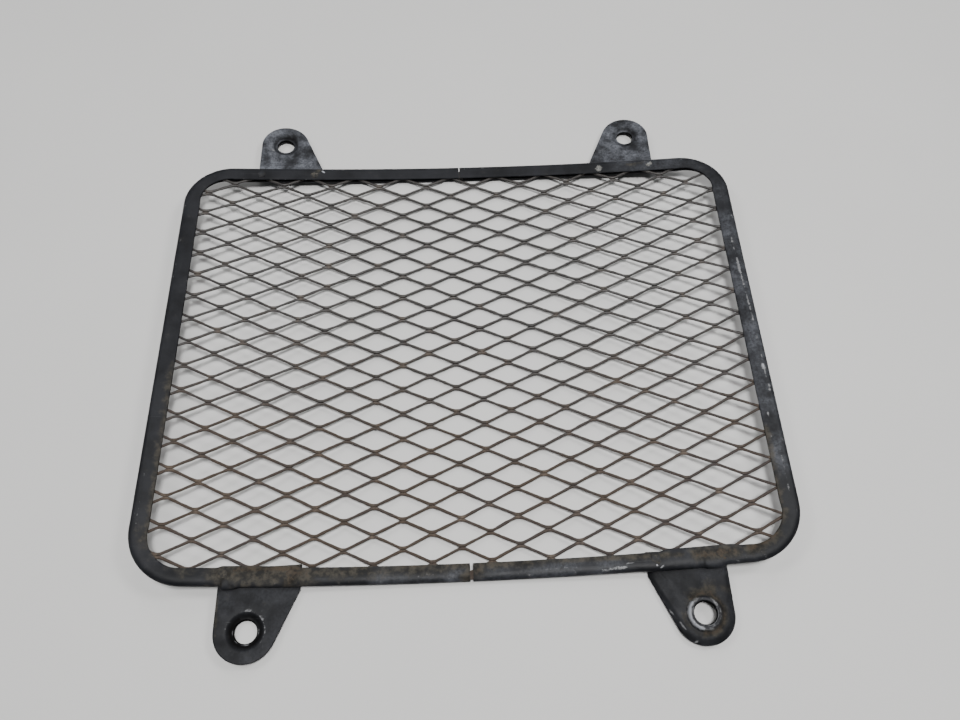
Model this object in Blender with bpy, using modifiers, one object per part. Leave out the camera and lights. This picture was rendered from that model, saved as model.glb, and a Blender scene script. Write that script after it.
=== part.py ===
"""A bowed mesh guard: an expanded steel sheet held in a folded edge channel, with four
stamped bolt-on tabs. Metres, +Z up. The guard lies on its back, seen from above: +X runs
to the right along its width and +Y towards its upper edge. The origin is the middle of
the guard, on the surface that it lies on.
"""

import math

import bmesh
import bpy
from mathutils import Matrix, Vector

# Edge channel
HALF_WIDTH = 0.1433
HALF_HEIGHT = 0.1117
BAR_CROWN = 0.0028  # the upper and lower bars stand out this much more at their middle
OUT_OF_SQUARE = 0.0088  # slope of the upper and lower bars, and of the mesh, up to the right
CORNER_RADIUS = 0.0235
CHANNEL_WIDTH = 0.0080
CHANNEL_DEPTH = 0.0036
CHANNEL_SHEET = 0.0008
UPPER_SEAM_X = 0.0003  # the two halves meet just right of the middle
LOWER_SEAM_X = 0.0006
UPPER_SEAM = 0.0012
LOWER_SEAM = 0.0018

# Bow of the whole guard across its width, and the hollow of the mesh below its edge
BOW_RADIUS = 1.193
MESH_HOLLOW = 0.0010

# Expanded mesh
LONG_WAY = 0.0254
SHORT_WAY = 0.01265
STRAND_WIDTH = 0.0012
MESH_SHEET = 0.0010
MESH_INSET = 0.0030  # from the channel's outer edge to the mesh's cut edge
JUNCTION_X = 0.0086  # the lattice junction nearest to the middle
JUNCTION_Y = -0.0019

# Tabs. They were set by hand, so each bolt hole has its own place
UPPER_LEFT_HOLE = (-0.0954, 0.1283)
UPPER_RIGHT_HOLE = (0.0942, 0.1308)
LOWER_LEFT_HOLE = (-0.0924, -0.1287)
LOWER_RIGHT_HOLE = (0.0965, -0.1280)
TAB_END_RADIUS = 0.0127
TAB_SLANT = (-0.0211, -0.0160)  # from the hole to where the slanted side reaches the channel
UPPER_ROOT = 0.0245  # from the hole to the end of the root, hidden under the channel
LOWER_ROOT = 0.0275  # the lower roots show a little past the channel's inner edge
TAB_SHEET = 0.0018
SEATING_GAP = 0.0003  # between the channel's back and a tab

UPPER_RING = 0.0074
UPPER_HOLE = 0.0045
UPPER_DEPTH = 0.0008
LOWER_COLLAR = 0.0080
LOWER_HOLE = 0.0050
LOWER_DEPTH = 0.0018

# Weld points
WELD_X = (-0.0174, 0.0103)  # from the hole
WELD_INSET = 0.0044  # from the channel's outer edge
WELD_RADIUS = 0.0021
WELD_TOP_RADIUS = 0.0013
WELD_HEIGHT = 0.0006

CORNER_STEPS = 8
BAR_STEPS = 8
FOLD_STEPS = 6
TAB_END_STEPS = 14
HOLE_STEPS = 32
WELD_SEGMENTS = 16


def clear_scene():
    for obj in list(bpy.data.objects):
        bpy.data.objects.remove(obj)


def new_collection(name):
    collection = bpy.data.collections.new(name)
    bpy.context.scene.collection.children.link(collection)
    return collection


def new_material(name, colour, roughness, metallic):
    material = bpy.data.materials.new(name)
    material.use_nodes = True
    shader = material.node_tree.nodes["Principled BSDF"]
    shader.inputs["Base Color"].default_value = (*colour, 1.0)
    shader.inputs["Roughness"].default_value = roughness
    shader.inputs["Metallic"].default_value = metallic
    return material


def satin_black_paint():
    return new_material("satin_black_paint", (0.035, 0.037, 0.041), 0.45, 0.2)


def weathered_steel():
    return new_material("weathered_steel", (0.075, 0.060, 0.050), 0.70, 0.3)


def rubbed_weld():
    return new_material("rubbed_weld", (0.180, 0.175, 0.165), 0.55, 0.5)


def part_object(name, mesh, material, collection):
    """The finished sub-part: its mesh in an object of its own, with its one material."""
    obj = bpy.data.objects.new(name, mesh)
    mesh.materials.clear()
    mesh.materials.append(material)
    collection.objects.link(obj)
    return obj


def mesh_of(obj):
    """The mesh that a curve makes, welded where its caps meet its sides."""
    graph = bpy.context.evaluated_depsgraph_get()
    mesh = bpy.data.meshes.new_from_object(obj.evaluated_get(graph))
    shape = bmesh.new()
    shape.from_mesh(mesh)
    bmesh.ops.remove_doubles(shape, verts=shape.verts, dist=1e-6)
    bmesh.ops.recalc_face_normals(shape, faces=shape.faces)
    shape.to_mesh(mesh)
    shape.free()
    return mesh


def bow_height(x):
    """Height of the bowed middle surface above its lowest line."""
    return x * x / (2 * BOW_RADIUS)


def bow_mesh(mesh):
    for vertex in mesh.vertices:
        vertex.co.z += bow_height(vertex.co.x)


def arc(centre, radius, start, end, steps):
    """Points along an arc, its angles in degrees."""
    angles = [math.radians(start + (end - start) * i / steps) for i in range(steps + 1)]
    return [(centre[0] + radius * math.cos(a), centre[1] + radius * math.sin(a)) for a in angles]


def poly_curve(name, points, cyclic=False):
    """A flat curve through the points, in a new object that isn't in any collection yet."""
    data = bpy.data.curves.new(name, "CURVE")
    data.dimensions = "2D"
    data.fill_mode = "NONE"
    add_outline(data, points, cyclic)
    return bpy.data.objects.new(name, data)


def add_outline(data, points, cyclic=True):
    spline = data.splines.new("POLY")
    spline.points.add(len(points) - 1)
    for place, (x, y) in zip(spline.points, points):
        place.co = (x, y, 0, 1)
    spline.use_cyclic_u = cyclic


def crowned(x, y):
    """A point of the outline on its crowned upper or lower bar, out of square as it is."""
    rise = BAR_CROWN * (1 - (x / HALF_WIDTH) ** 2)
    return x, y + rise * y / HALF_HEIGHT + OUT_OF_SQUARE * x


def half_outline(side, inset):
    """Half of the outline, from the upper seam round one side to the lower seam."""
    corner_x = HALF_WIDTH - CORNER_RADIUS
    corner_y = HALF_HEIGHT - BAR_CROWN - CORNER_RADIUS
    radius = CORNER_RADIUS - inset
    upper_x = UPPER_SEAM_X * side + UPPER_SEAM / 2
    lower_x = LOWER_SEAM_X * side + LOWER_SEAM / 2
    steps = [i / BAR_STEPS for i in range(BAR_STEPS)]
    points = [(upper_x + (corner_x - upper_x) * s, corner_y + radius) for s in steps]
    points += arc((corner_x, corner_y), radius, 90, 0, CORNER_STEPS)
    points += arc((corner_x, -corner_y), radius, 0, -90, CORNER_STEPS)
    points += [(lower_x + (corner_x - lower_x) * s, -corner_y - radius) for s in reversed(steps)]
    return [crowned(side * x, y) for x, y in points]


def fold_section():
    """The middle line of the channel's sheet: distance in from the outer edge, and height."""
    radius = (CHANNEL_DEPTH - CHANNEL_SHEET) / 2
    centre = CHANNEL_SHEET / 2 + radius
    fold = arc((centre, 0), radius, 90, 270, FOLD_STEPS)
    return [(CHANNEL_WIDTH, radius), *fold, (CHANNEL_WIDTH, -radius)]


def channel_half(name, side, material, collection, guides):
    """One C-shaped length: the folded section along the outline, then given its thickness."""
    section = poly_curve(name + "_section", [(side * x, y) for x, y in fold_section()])
    path = poly_curve(name + "_path", half_outline(side, 0.0))
    path.data.bevel_mode = "OBJECT"
    path.data.bevel_object = section
    for guide in (section, path):
        guides.objects.link(guide)
    mesh = mesh_of(path)
    bow_mesh(mesh)
    for guide in (section, path):
        bpy.data.objects.remove(guide)
    obj = part_object(name, mesh, material, collection)
    wall = obj.modifiers.new("sheet", "SOLIDIFY")
    wall.thickness = CHANNEL_SHEET
    wall.offset = 0.0
    return obj


def keep_largest_island(shape):
    """Drops the strand ends that the cut edge leaves loose."""
    left = set(shape.verts)
    islands = []
    while left:
        island = set()
        edge = {left.pop()}
        while edge:
            island |= edge
            edge = {e.other_vert(v) for v in edge for e in v.link_edges} - island
        left -= island
        islands.append(island)
    islands.sort(key=len)
    loose = [v for island in islands[:-1] for v in island]
    bmesh.ops.delete(shape, geom=loose, context="VERTS")


def expanded_mesh(material, collection):
    """The sheet of diamonds, cut to the rounded outline, given its thickness and bowed."""
    turn = Matrix.Rotation(OUT_OF_SQUARE, 3, "Z")
    along = turn @ Vector((LONG_WAY / 2, SHORT_WAY / 2, 0))
    across = turn @ Vector((LONG_WAY / 2, -SHORT_WAY / 2, 0))
    count = 2 * math.ceil(HALF_WIDTH / LONG_WAY + HALF_HEIGHT / SHORT_WAY)
    place = Matrix((
        (along.x, across.x, 0, JUNCTION_X),
        (along.y, across.y, 0, JUNCTION_Y),
        (0, 0, 1, 0),
        (0, 0, 0, 1),
    ))
    shape = bmesh.new()
    bmesh.ops.create_grid(shape, x_segments=count, y_segments=count, size=count / 2, matrix=place)
    diamonds = bmesh.ops.inset_individual(
        shape, faces=shape.faces, thickness=STRAND_WIDTH / 2, use_even_offset=True
    )
    openings = [f for f in shape.faces if f not in set(diamonds["faces"])]
    bmesh.ops.delete(shape, geom=openings, context="FACES")
    outline = half_outline(1, MESH_INSET)[1:-1]
    outline += reversed(half_outline(-1, MESH_INSET)[1:-1])
    for (x1, y1), (x2, y2) in zip(outline, outline[1:] + outline[:1]):
        everything = list(shape.verts) + list(shape.edges) + list(shape.faces)
        bmesh.ops.bisect_plane(
            shape, geom=everything, dist=1e-7, plane_co=(x1, y1, 0),
            plane_no=(y1 - y2, x2 - x1, 0), clear_outer=True,
        )
    keep_largest_island(shape)
    mesh = bpy.data.meshes.new("expanded_mesh")
    shape.to_mesh(mesh)
    shape.free()
    bow_mesh(mesh)
    for vertex in mesh.vertices:
        x, y = vertex.co.x / HALF_WIDTH, vertex.co.y / HALF_HEIGHT
        vertex.co.z -= MESH_HOLLOW * (1 - x * x) * (1 - y * y)
    obj = part_object("expanded_mesh", mesh, material, collection)
    wall = obj.modifiers.new("sheet", "SOLIDIFY")
    wall.thickness = MESH_SHEET
    wall.offset = 0.0
    return obj


def on_bow(x, y, height):
    """The place a height off the bowed surface, square to it."""
    turn = Matrix.Rotation(-math.atan(x / BOW_RADIUS), 4, "Y")
    return Matrix.Translation((x, y, bow_height(x))) @ turn @ Matrix.Translation((0, 0, height))


def tab_outline(root):
    """A tab about its hole: round end, upright outer side (+X), slanted inner side."""
    inner = Vector(TAB_SLANT)
    towards_end = math.degrees(math.atan2(-inner.y, -inner.x))
    half_angle = math.degrees(math.asin(TAB_END_RADIUS / inner.length))
    tangent = towards_end + half_angle + 90
    return [
        (TAB_END_RADIUS, -root),
        *arc((0, 0), TAB_END_RADIUS, 0, tangent, TAB_END_STEPS),
        (inner.x, inner.y),
        (inner.x, -root),
    ]


def tab(name, place, root, stamping, material, collection, guides):
    """A stamped tab: a flat blank whose hole edge is pressed down (or up, if depth < 0)."""
    ring, hole, depth = stamping
    blank = poly_curve(name + "_blank", tab_outline(root), cyclic=True)
    blank.data.fill_mode = "BOTH"
    add_outline(blank.data, arc((0, 0), ring, 0, 360, HOLE_STEPS)[:-1])
    guides.objects.link(blank)
    mesh = mesh_of(blank)
    bpy.data.objects.remove(blank)
    shape = bmesh.new()
    shape.from_mesh(mesh)
    near = (ring + TAB_END_RADIUS) / 2
    rim = [e for e in shape.edges if e.is_boundary and max(v.co.length for v in e.verts) < near]
    pressed = bmesh.ops.extrude_edge_only(shape, edges=rim)["geom"]
    for vertex in [g for g in pressed if isinstance(g, bmesh.types.BMVert)]:
        vertex.co = vertex.co * (hole / ring) - Vector((0, 0, depth))
    height = -CHANNEL_DEPTH / 2 - SEATING_GAP - TAB_SHEET / 2
    mirror = Matrix.Diagonal((math.copysign(1, place[0]), math.copysign(1, place[1]), 1, 1))
    shape.transform(on_bow(*place, height) @ mirror)
    bmesh.ops.recalc_face_normals(shape, faces=shape.faces)
    shape.to_mesh(mesh)
    shape.free()
    obj = part_object(name, mesh, material, collection)
    wall = obj.modifiers.new("sheet", "SOLIDIFY")
    wall.thickness = TAB_SHEET
    wall.offset = 0.0
    wall.use_even_offset = True
    return obj


def weld_point(name, hole, offset, material, collection):
    """A low round button on the channel's front face, beside a tab's hole."""
    x = hole[0] + math.copysign(1, hole[0]) * offset
    y = crowned(x, math.copysign(1, hole[1]) * (HALF_HEIGHT - BAR_CROWN - WELD_INSET))[1]
    shape = bmesh.new()
    bmesh.ops.create_cone(
        shape, cap_ends=True, segments=WELD_SEGMENTS,
        radius1=WELD_RADIUS, radius2=WELD_TOP_RADIUS, depth=WELD_HEIGHT,
    )
    height = CHANNEL_DEPTH / 2 + SEATING_GAP + WELD_HEIGHT / 2
    shape.transform(on_bow(x, y, height))
    mesh = bpy.data.meshes.new(name)
    shape.to_mesh(mesh)
    shape.free()
    return part_object(name, mesh, material, collection)


def lay_down(parts):
    """Moves the finished parts together so that the lowest point is at height zero."""
    bpy.context.view_layer.update()
    graph = bpy.context.evaluated_depsgraph_get()
    lowest = min(v.co.z for part in parts for v in part.evaluated_get(graph).data.vertices)
    for part in parts:
        part.location.z = -lowest


def build():
    clear_scene()
    guard = new_collection("mesh_guard")
    guides = new_collection("guides")
    guides.hide_render = True
    paint = satin_black_paint()
    weld = rubbed_weld()
    parts = [
        expanded_mesh(weathered_steel(), guard),
        channel_half("channel_left", -1, paint, guard, guides),
        channel_half("channel_right", 1, paint, guard, guides),
    ]
    sunk_ring = (UPPER_RING, UPPER_HOLE, UPPER_DEPTH)
    sunk_collar = (LOWER_COLLAR, LOWER_HOLE, LOWER_DEPTH)
    raised_collar = (LOWER_COLLAR, LOWER_HOLE, -LOWER_DEPTH)
    for corner, hole, root, stamping in (
        ("upper_left", UPPER_LEFT_HOLE, UPPER_ROOT, sunk_ring),
        ("upper_right", UPPER_RIGHT_HOLE, UPPER_ROOT, sunk_ring),
        ("lower_left", LOWER_LEFT_HOLE, LOWER_ROOT, sunk_collar),
        ("lower_right", LOWER_RIGHT_HOLE, LOWER_ROOT, raised_collar),
    ):
        parts.append(tab("tab_" + corner, hole, root, stamping, paint, guard, guides))
        for place, offset in zip(("inner", "outer"), WELD_X):
            name = f"weld_{corner}_{place}"
            parts.append(weld_point(name, hole, offset, weld, guard))
    lay_down(parts)


build()
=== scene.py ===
"""A bowed mesh guard lying on its back on a pale floor: expanded steel mesh gripped in a
folded edge channel, with four stamped bolt-on tabs. Metres, +Z up, +Y towards the upper
edge. The CAD model is the fixed frame, and every piece here stands for one of its nodes.
"""

import math

import bmesh
import bpy
from mathutils import Matrix, Vector, noise


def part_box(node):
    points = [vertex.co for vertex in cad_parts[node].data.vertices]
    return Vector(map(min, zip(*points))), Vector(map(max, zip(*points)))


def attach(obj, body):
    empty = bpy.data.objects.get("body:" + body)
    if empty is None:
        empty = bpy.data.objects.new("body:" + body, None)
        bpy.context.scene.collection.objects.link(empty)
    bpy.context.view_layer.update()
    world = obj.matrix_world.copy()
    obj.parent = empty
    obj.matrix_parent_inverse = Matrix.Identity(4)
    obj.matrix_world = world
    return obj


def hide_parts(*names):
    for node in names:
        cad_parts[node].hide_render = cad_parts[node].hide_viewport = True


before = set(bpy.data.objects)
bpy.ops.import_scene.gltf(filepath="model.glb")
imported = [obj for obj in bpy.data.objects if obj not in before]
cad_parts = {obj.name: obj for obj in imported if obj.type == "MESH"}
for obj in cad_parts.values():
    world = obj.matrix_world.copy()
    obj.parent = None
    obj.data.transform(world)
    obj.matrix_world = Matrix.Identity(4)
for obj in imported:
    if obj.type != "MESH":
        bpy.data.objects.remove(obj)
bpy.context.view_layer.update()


# ---------------------------------------------------------------------------------------
# Edge channel. Two C-shaped lengths of 0.8 mm sheet steel, folded to a U, bent round the
# guard's outline and squeezed onto the edge of the mesh. They meet at a small open gap in
# the middle of the upper and of the lower bar. Satin black paint, rubbed and rusting.

HALF_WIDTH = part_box("channel_right")[1].x
HALF_HEIGHT = 0.1117
BAR_CROWN = 0.0028  # the upper and lower bars stand out this much more at their middle
OUT_OF_SQUARE = 0.0088  # slope of the upper and lower bars, and of the mesh
BOW_RADIUS = 1.193
CORNER_RADIUS = 0.0235
CHANNEL_DEPTH = 0.0036
CHANNEL_SHEET = 0.0008
CHANNEL_SQUEEZE = 0.0004  # each flange leans in this much from the fold to its edge
UPPER_SEAM = (0.0003, 0.0006)  # where it is, and how wide
LOWER_SEAM = (0.0006, 0.0013)
SIDE_FLANGE = 0.0081
UPPER_FLANGE = 0.0077
LOWER_FLANGE = 0.0073
FOLD_REACH = 0.0032  # the front face starts to turn down this far in from the outer edge
SIDE_BACK_SHORT = 0.0013  # the back flange of the sides is this much narrower than the front
CORNER_PINCH = 0.0011  # the bend drew the front flange in by this much at the corners
MIDDLE_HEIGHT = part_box("channel_left")[0].z + CHANNEL_DEPTH / 2
PATH_STEP = 0.0008
CORNER_STEPS = 18
SIDE_BLEND = 0.0040  # the side bars' own width begins this far in from the outline
EDGE_BULGE = 0.00018  # the cut edges of the sheet are rounded out by this much
EDGE_LAND = 0.00020  # and each of their corners is eased by this much
EDGE_RUBBED = 0.42  # how rubbed the sheet's front edge is
FOLD_RUBBED = 0.36  # and the crown of its fold
RIPPLE = 0.00007  # hand-made unevenness: short waves, and longer dents
DENT = 0.00008
LEAST_HAZE = 0.04  # the chalky film that lies on all of it
# painted shade inside the channel, between its flanges
INSIDE_SHADE = 0.8
CREASE_ANGLE = 35  # degrees: an edge that turns by more than this looks sharp


def smooth_step(x, start, end):
    """Zero up to start, one from end on, smooth between."""
    share = min(max((x - start) / (end - start), 0.0), 1.0)
    return share * share * (3 - 2 * share)


def window(x, start, end, soft):
    """One between start and end, fading to nothing over the soft length outside."""
    return smooth_step(x, start - soft, start) * (1 - smooth_step(x, end, end + soft))


def streak(x, y, start, end, width):
    """One on the line from start to end, fading with distance from it."""
    place, first = Vector((x, y)), Vector(start)
    run = Vector(end) - first
    share = (place - first).dot(run) / max(run.length_squared, 1e-12)
    off = (place - first - run * min(max(share, 0.0), 1.0)).length / width
    return math.exp(-off * off)


def bow(x):
    """Height of the bowed middle surface above the floor."""
    return MIDDLE_HEIGHT + x * x / (2 * BOW_RADIUS)


def arc(centre, radius, start, end, steps):
    """Points along an arc, its angles in degrees."""
    angles = [math.radians(start + (end - start) * i / steps) for i in range(steps + 1)]
    return [(centre[0] + radius * math.cos(a), centre[1] + radius * math.sin(a)) for a in angles]


def crowned(x, y):
    """A point of the outline on its crowned upper or lower bar, out of square as it is."""
    rise = BAR_CROWN * (1 - (x / HALF_WIDTH) ** 2)
    return x, y + rise * y / HALF_HEIGHT + OUT_OF_SQUARE * x


def straight(start, end):
    """Points from start up to, but not at, the end."""
    steps = max(2, round((Vector(end) - Vector(start)).length / PATH_STEP))
    return [tuple(Vector(start).lerp(Vector(end), i / steps)) for i in range(steps)]


def half_outline(side):
    """Half of the outline, from the upper seam round one side to the lower seam."""
    corner_x = HALF_WIDTH - CORNER_RADIUS
    corner_y = HALF_HEIGHT - BAR_CROWN - CORNER_RADIUS
    top = corner_y + CORNER_RADIUS
    upper_x = UPPER_SEAM[0] * side + UPPER_SEAM[1] / 2
    lower_x = LOWER_SEAM[0] * side + LOWER_SEAM[1] / 2
    points = straight((upper_x, top), (corner_x, top))
    points += arc((corner_x, corner_y), CORNER_RADIUS, 90, 0, CORNER_STEPS)[:-1]
    points += straight((HALF_WIDTH, corner_y), (HALF_WIDTH, -corner_y))
    points += arc((corner_x, -corner_y), CORNER_RADIUS, 0, -90, CORNER_STEPS)[:-1]
    points += straight((corner_x, -top), (lower_x, -top)) + [(lower_x, -top)]
    return [Vector(crowned(side * x, y)) for x, y in points]


def on_side(x):
    """One on the side bars, nothing on the upper and lower ones, smooth round the corners."""
    return smooth_step(abs(x), HALF_WIDTH - CORNER_RADIUS, HALF_WIDTH - SIDE_BLEND)


def flange_width(x, y):
    """How far the front flange reaches in from the fold: widest on the sides."""
    bar = UPPER_FLANGE if y > 0 else LOWER_FLANGE
    corner_x = HALF_WIDTH - CORNER_RADIUS
    corner_y = HALF_HEIGHT - BAR_CROWN - CORNER_RADIUS
    turn = math.atan2(abs(y - OUT_OF_SQUARE * x) - corner_y, abs(x) - corner_x)
    turn = min(max(turn / (math.pi / 2), 0.0), 1.0)
    pinched = CORNER_PINCH * 4 * turn * (1 - turn)
    return bar + (SIDE_FLANGE - bar) * on_side(x) - pinched


def pressed_out(x, y):
    """Where the squeezed channel spread over the lower tabs: outwards, and inwards. There is
    a folded lip at the left one, and a small ear at the right one."""
    if y > 0:
        return 0.0, 0.0
    lip = smooth_step(x, -0.1042, -0.1032) * (1 - smooth_step(x, -0.1000, -0.0955))
    left = window(x, -0.1030, -0.0730, 0.0030)
    right = window(x, 0.0760, 0.1060, 0.0040)
    ear = window(x, 0.1010, 0.1055, 0.0025)
    outwards = 0.0010 * lip + 0.0003 * left + 0.0003 * right + 0.0007 * ear
    inwards = 0.0007 * left + 0.0008 * window(x, 0.0850, 0.1110, 0.0050)
    return outwards, inwards


def channel_section(front, back):
    """The closed outline of the folded sheet: distance in from the fold, height, rubbing."""
    outer = CHANNEL_DEPTH / 2
    inner = outer - CHANNEL_SHEET
    points = []
    for share in (1.0, 0.9, 0.8, 0.7, 0.6, 0.5, 0.4, 0.3, 0.2, 0.1):
        depth = FOLD_REACH + (front - FOLD_REACH) * share
        height = outer - CHANNEL_SQUEEZE * share ** 1.5
        points.append((depth, height, EDGE_RUBBED if share == 1.0 else 0.0))
    for across, height in arc((0, 0), 1.0, 90, 180, 9):
        pale_mark = FOLD_RUBBED if 0.55 < height < 0.98 else 0.10
        points.append((FOLD_REACH * (1 + across), outer * height, pale_mark))
    points += [(depth, height, 0.1) for depth, height in arc((outer, 0), outer, 180, 270, 6)[1:]]
    for share in (0.5, 1.0):
        points.append((outer + (back - outer) * share, CHANNEL_SQUEEZE * share - outer, 0.0))
    edge = CHANNEL_SQUEEZE - outer
    points.append((back + EDGE_BULGE, edge + EDGE_LAND, 0.3))
    points.append((back + EDGE_BULGE, edge + CHANNEL_SHEET - EDGE_LAND, 0.3))
    points.append((back, edge + CHANNEL_SHEET, 0.0))
    points += [(depth, height, 0.0) for depth, height in arc((outer, 0), inner, 270, 180, 4)]
    for across, height in arc((0, 0), 1.0, 180, 90, 5)[1:]:
        reach = FOLD_REACH - CHANNEL_SHEET
        points.append((CHANNEL_SHEET + reach * (1 + across), inner * height, 0.0))
    edge = outer - CHANNEL_SQUEEZE
    points.append((front, edge - CHANNEL_SHEET, 0.0))
    points.append((front + EDGE_BULGE, edge - CHANNEL_SHEET + EDGE_LAND, EDGE_RUBBED))
    points.append((front + EDGE_BULGE, edge - EDGE_LAND, EDGE_RUBBED))
    return points


# Where the paint is gone, and painted highlights: each mark runs from here to there, is so wide,
# and is so strong
CHANNEL_SCUFFS_AND_GLINTS = (
    # The first ten marks, down the right bar near its fold, are a painted highlight along the fold
    # on worn paint
    ((0.1388, 0.0560), (0.1391, 0.0430), 0.0006, 0.62),
    ((0.1393, 0.0420), (0.1396, 0.0330), 0.0007, 0.85),
    ((0.1396, 0.0330), (0.1401, 0.0190), 0.0006, 0.64),
    ((0.1401, 0.0190), (0.1406, 0.0060), 0.0007, 0.76),
    ((0.1404, -0.0020), (0.1406, -0.0140), 0.0005, 0.62),
    ((0.1404, -0.0180), (0.1405, -0.0200), 0.0008, 1.05),
    ((0.1405, -0.0200), (0.1411, -0.0320), 0.0006, 0.64),
    ((0.1379, -0.0420), (0.1379, -0.0440), 0.0006, 0.75),
    ((0.1372, -0.0540), (0.1372, -0.0560), 0.0005, 0.60),
    ((0.1396, -0.0600), (0.1396, -0.0850), 0.0006, 0.45),
    ((0.0560, -0.1092), (0.0660, -0.1085), 0.0009, 0.72),
    ((0.0660, -0.1070), (0.0690, -0.1068), 0.0005, 0.60),
    ((0.0260, -0.1082), (0.0500, -0.1075), 0.0006, 0.42),
    ((-0.0250, -0.1088), (-0.0140, -0.1084), 0.0009, 0.40),
    ((0.0787, -0.1082), (0.0791, -0.1078), 0.0006, 0.95),
    ((0.0803, -0.1092), (0.0812, -0.1087), 0.0005, 0.90),
    ((0.1120, -0.1085), (0.1230, -0.1045), 0.0007, 0.42),
    ((-0.1400, -0.0850), (-0.1402, -0.0500), 0.0005, 0.36),
    ((0.1330, 0.0860), (0.1300, 0.1000), 0.0008, 0.38),
    ((-0.0738, 0.1078), (-0.0726, 0.1068), 0.0008, 1.10),
    ((-0.0754, 0.1087), (-0.0750, 0.1085), 0.0005, 0.80),
    ((-0.0774, 0.1057), (-0.0762, 0.1040), 0.0005, 0.60),
    ((0.0860, 0.1085), (0.0900, 0.1085), 0.0005, 0.40),
)
# Where rust has come through, in the same way
CHANNEL_RUST = (
    ((-0.1040, -0.1060), (-0.0690, -0.1070), 0.0055, 0.62),
    ((-0.0980, -0.1045), (-0.0720, -0.1045), 0.0020, 0.90),
    ((-0.1350, -0.0900), (-0.1180, -0.1030), 0.0050, 0.50),
    ((-0.0760, -0.1100), (-0.0710, -0.1060), 0.0035, 0.85),
    ((-0.0700, -0.1060), (-0.0100, -0.1060), 0.0030, 0.58),
    ((-0.0300, -0.1050), (0.0300, -0.1050), 0.0020, 0.65),
    ((-0.0010, -0.1100), (0.0030, -0.1070), 0.0035, 0.75),
    ((0.1190, -0.1030), (0.1300, -0.0975), 0.0028, 0.95),
    ((0.1300, -0.0975), (0.1350, -0.0880), 0.0024, 0.80),
    ((0.0960, -0.1045), (0.1120, -0.1040), 0.0030, 0.80),
    ((0.0300, -0.1046), (0.0900, -0.1040), 0.0015, 0.60),
    ((0.1350, -0.0850), (0.1356, -0.0500), 0.0018, 0.60),
    ((-0.1350, -0.0900), (-0.1358, -0.0100), 0.0020, 0.50),
    ((-0.0780, 0.1045), (-0.0755, 0.1085), 0.0016, 0.62),
    ((0.0920, 0.1075), (0.1000, 0.1080), 0.0012, 0.50),
)
# Painted shade in the dark creases and corners
CHANNEL_CREASE_SHADE = (
    ((-0.1022, -0.1072), (-0.1034, -0.1112), 0.0006, 0.75),
    ((-0.1022, -0.1072), (-0.0998, -0.1060), 0.0006, 0.50),
    ((-0.0998, -0.1103), (-0.0985, -0.1112), 0.0006, 0.50),
    ((-0.0750, -0.1040), (-0.0745, -0.1100), 0.0006, 0.45),
    ((0.0985, -0.1090), (0.1025, -0.1105), 0.0005, 0.60),
    ((0.0995, -0.1050), (0.0985, -0.1100), 0.0004, 0.50),
    ((-0.0050, -0.1100), (-0.0005, -0.1105), 0.0010, 0.60),
    ((0.1230, -0.0985), (0.1262, -0.0950), 0.0012, 0.60),
)
# Where the paint is paler: partly a chalky blue-grey film, partly painted sheen where light catches
# the bars
CHANNEL_FILM_AND_SHEEN = (
    ((-0.0350, -0.1085), (0.0600, -0.1075), 0.0070, 0.50),
    ((0.0600, -0.1075), (0.1150, -0.1060), 0.0070, 0.15),
    ((0.1380, -0.0650), (0.1385, 0.0650), 0.0070, 0.75),
    ((0.0900, 0.1090), (0.1250, 0.1080), 0.0070, 0.45),
    ((0.1290, 0.0980), (0.1370, 0.0850), 0.0070, 0.60),
)


def worst(marks, x, y):
    """The strongest of the marks at a place."""
    return max(much * streak(x, y, start, end, width) for start, end, width, much in marks)


# The marks each vertex carries: wear and painted highlights, rust, dirt and painted shade, chalky
# film and painted sheen
MARK_KINDS = ("pale_mark", "rusted", "dirt_and_shade", "film_and_sheen")


def store_marks(mesh, vertex_marks):
    """Stores each vertex's wear and painted highlights, rust, dirt and painted shade, and chalky
    film and painted sheen, for the paint to read.
    """
    for i, name in enumerate(MARK_KINDS):
        layer = mesh.attributes.new(name, "FLOAT", "POINT")
        layer.data.foreach_set("value", [amounts[i] for amounts in vertex_marks])


def skin(shape, loops):
    """Faces between each closed loop of points and the next."""
    for first, second in zip(loops, loops[1:]):
        for j in range(len(first)):
            k = (j + 1) % len(first)
            shape.faces.new((first[j], first[k], second[k], second[j]))


def new_object(name, data):
    obj = bpy.data.objects.new(name, data)
    bpy.context.scene.collection.objects.link(obj)
    return obj


def finished(name, shape, material):
    """A mesh object from a bmesh, faces outwards, round where it is smooth."""
    bmesh.ops.recalc_face_normals(shape, faces=shape.faces)
    mesh = bpy.data.meshes.new(name)
    shape.to_mesh(mesh)
    shape.free()
    mesh.materials.append(material)
    mesh.shade_smooth()
    mesh.set_sharp_from_angle(angle=math.radians(CREASE_ANGLE))
    return new_object(name, mesh)


def stand_for(obj, node):
    """Puts a finished piece in its CAD node's place."""
    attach(obj, "root")
    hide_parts(node)


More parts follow.
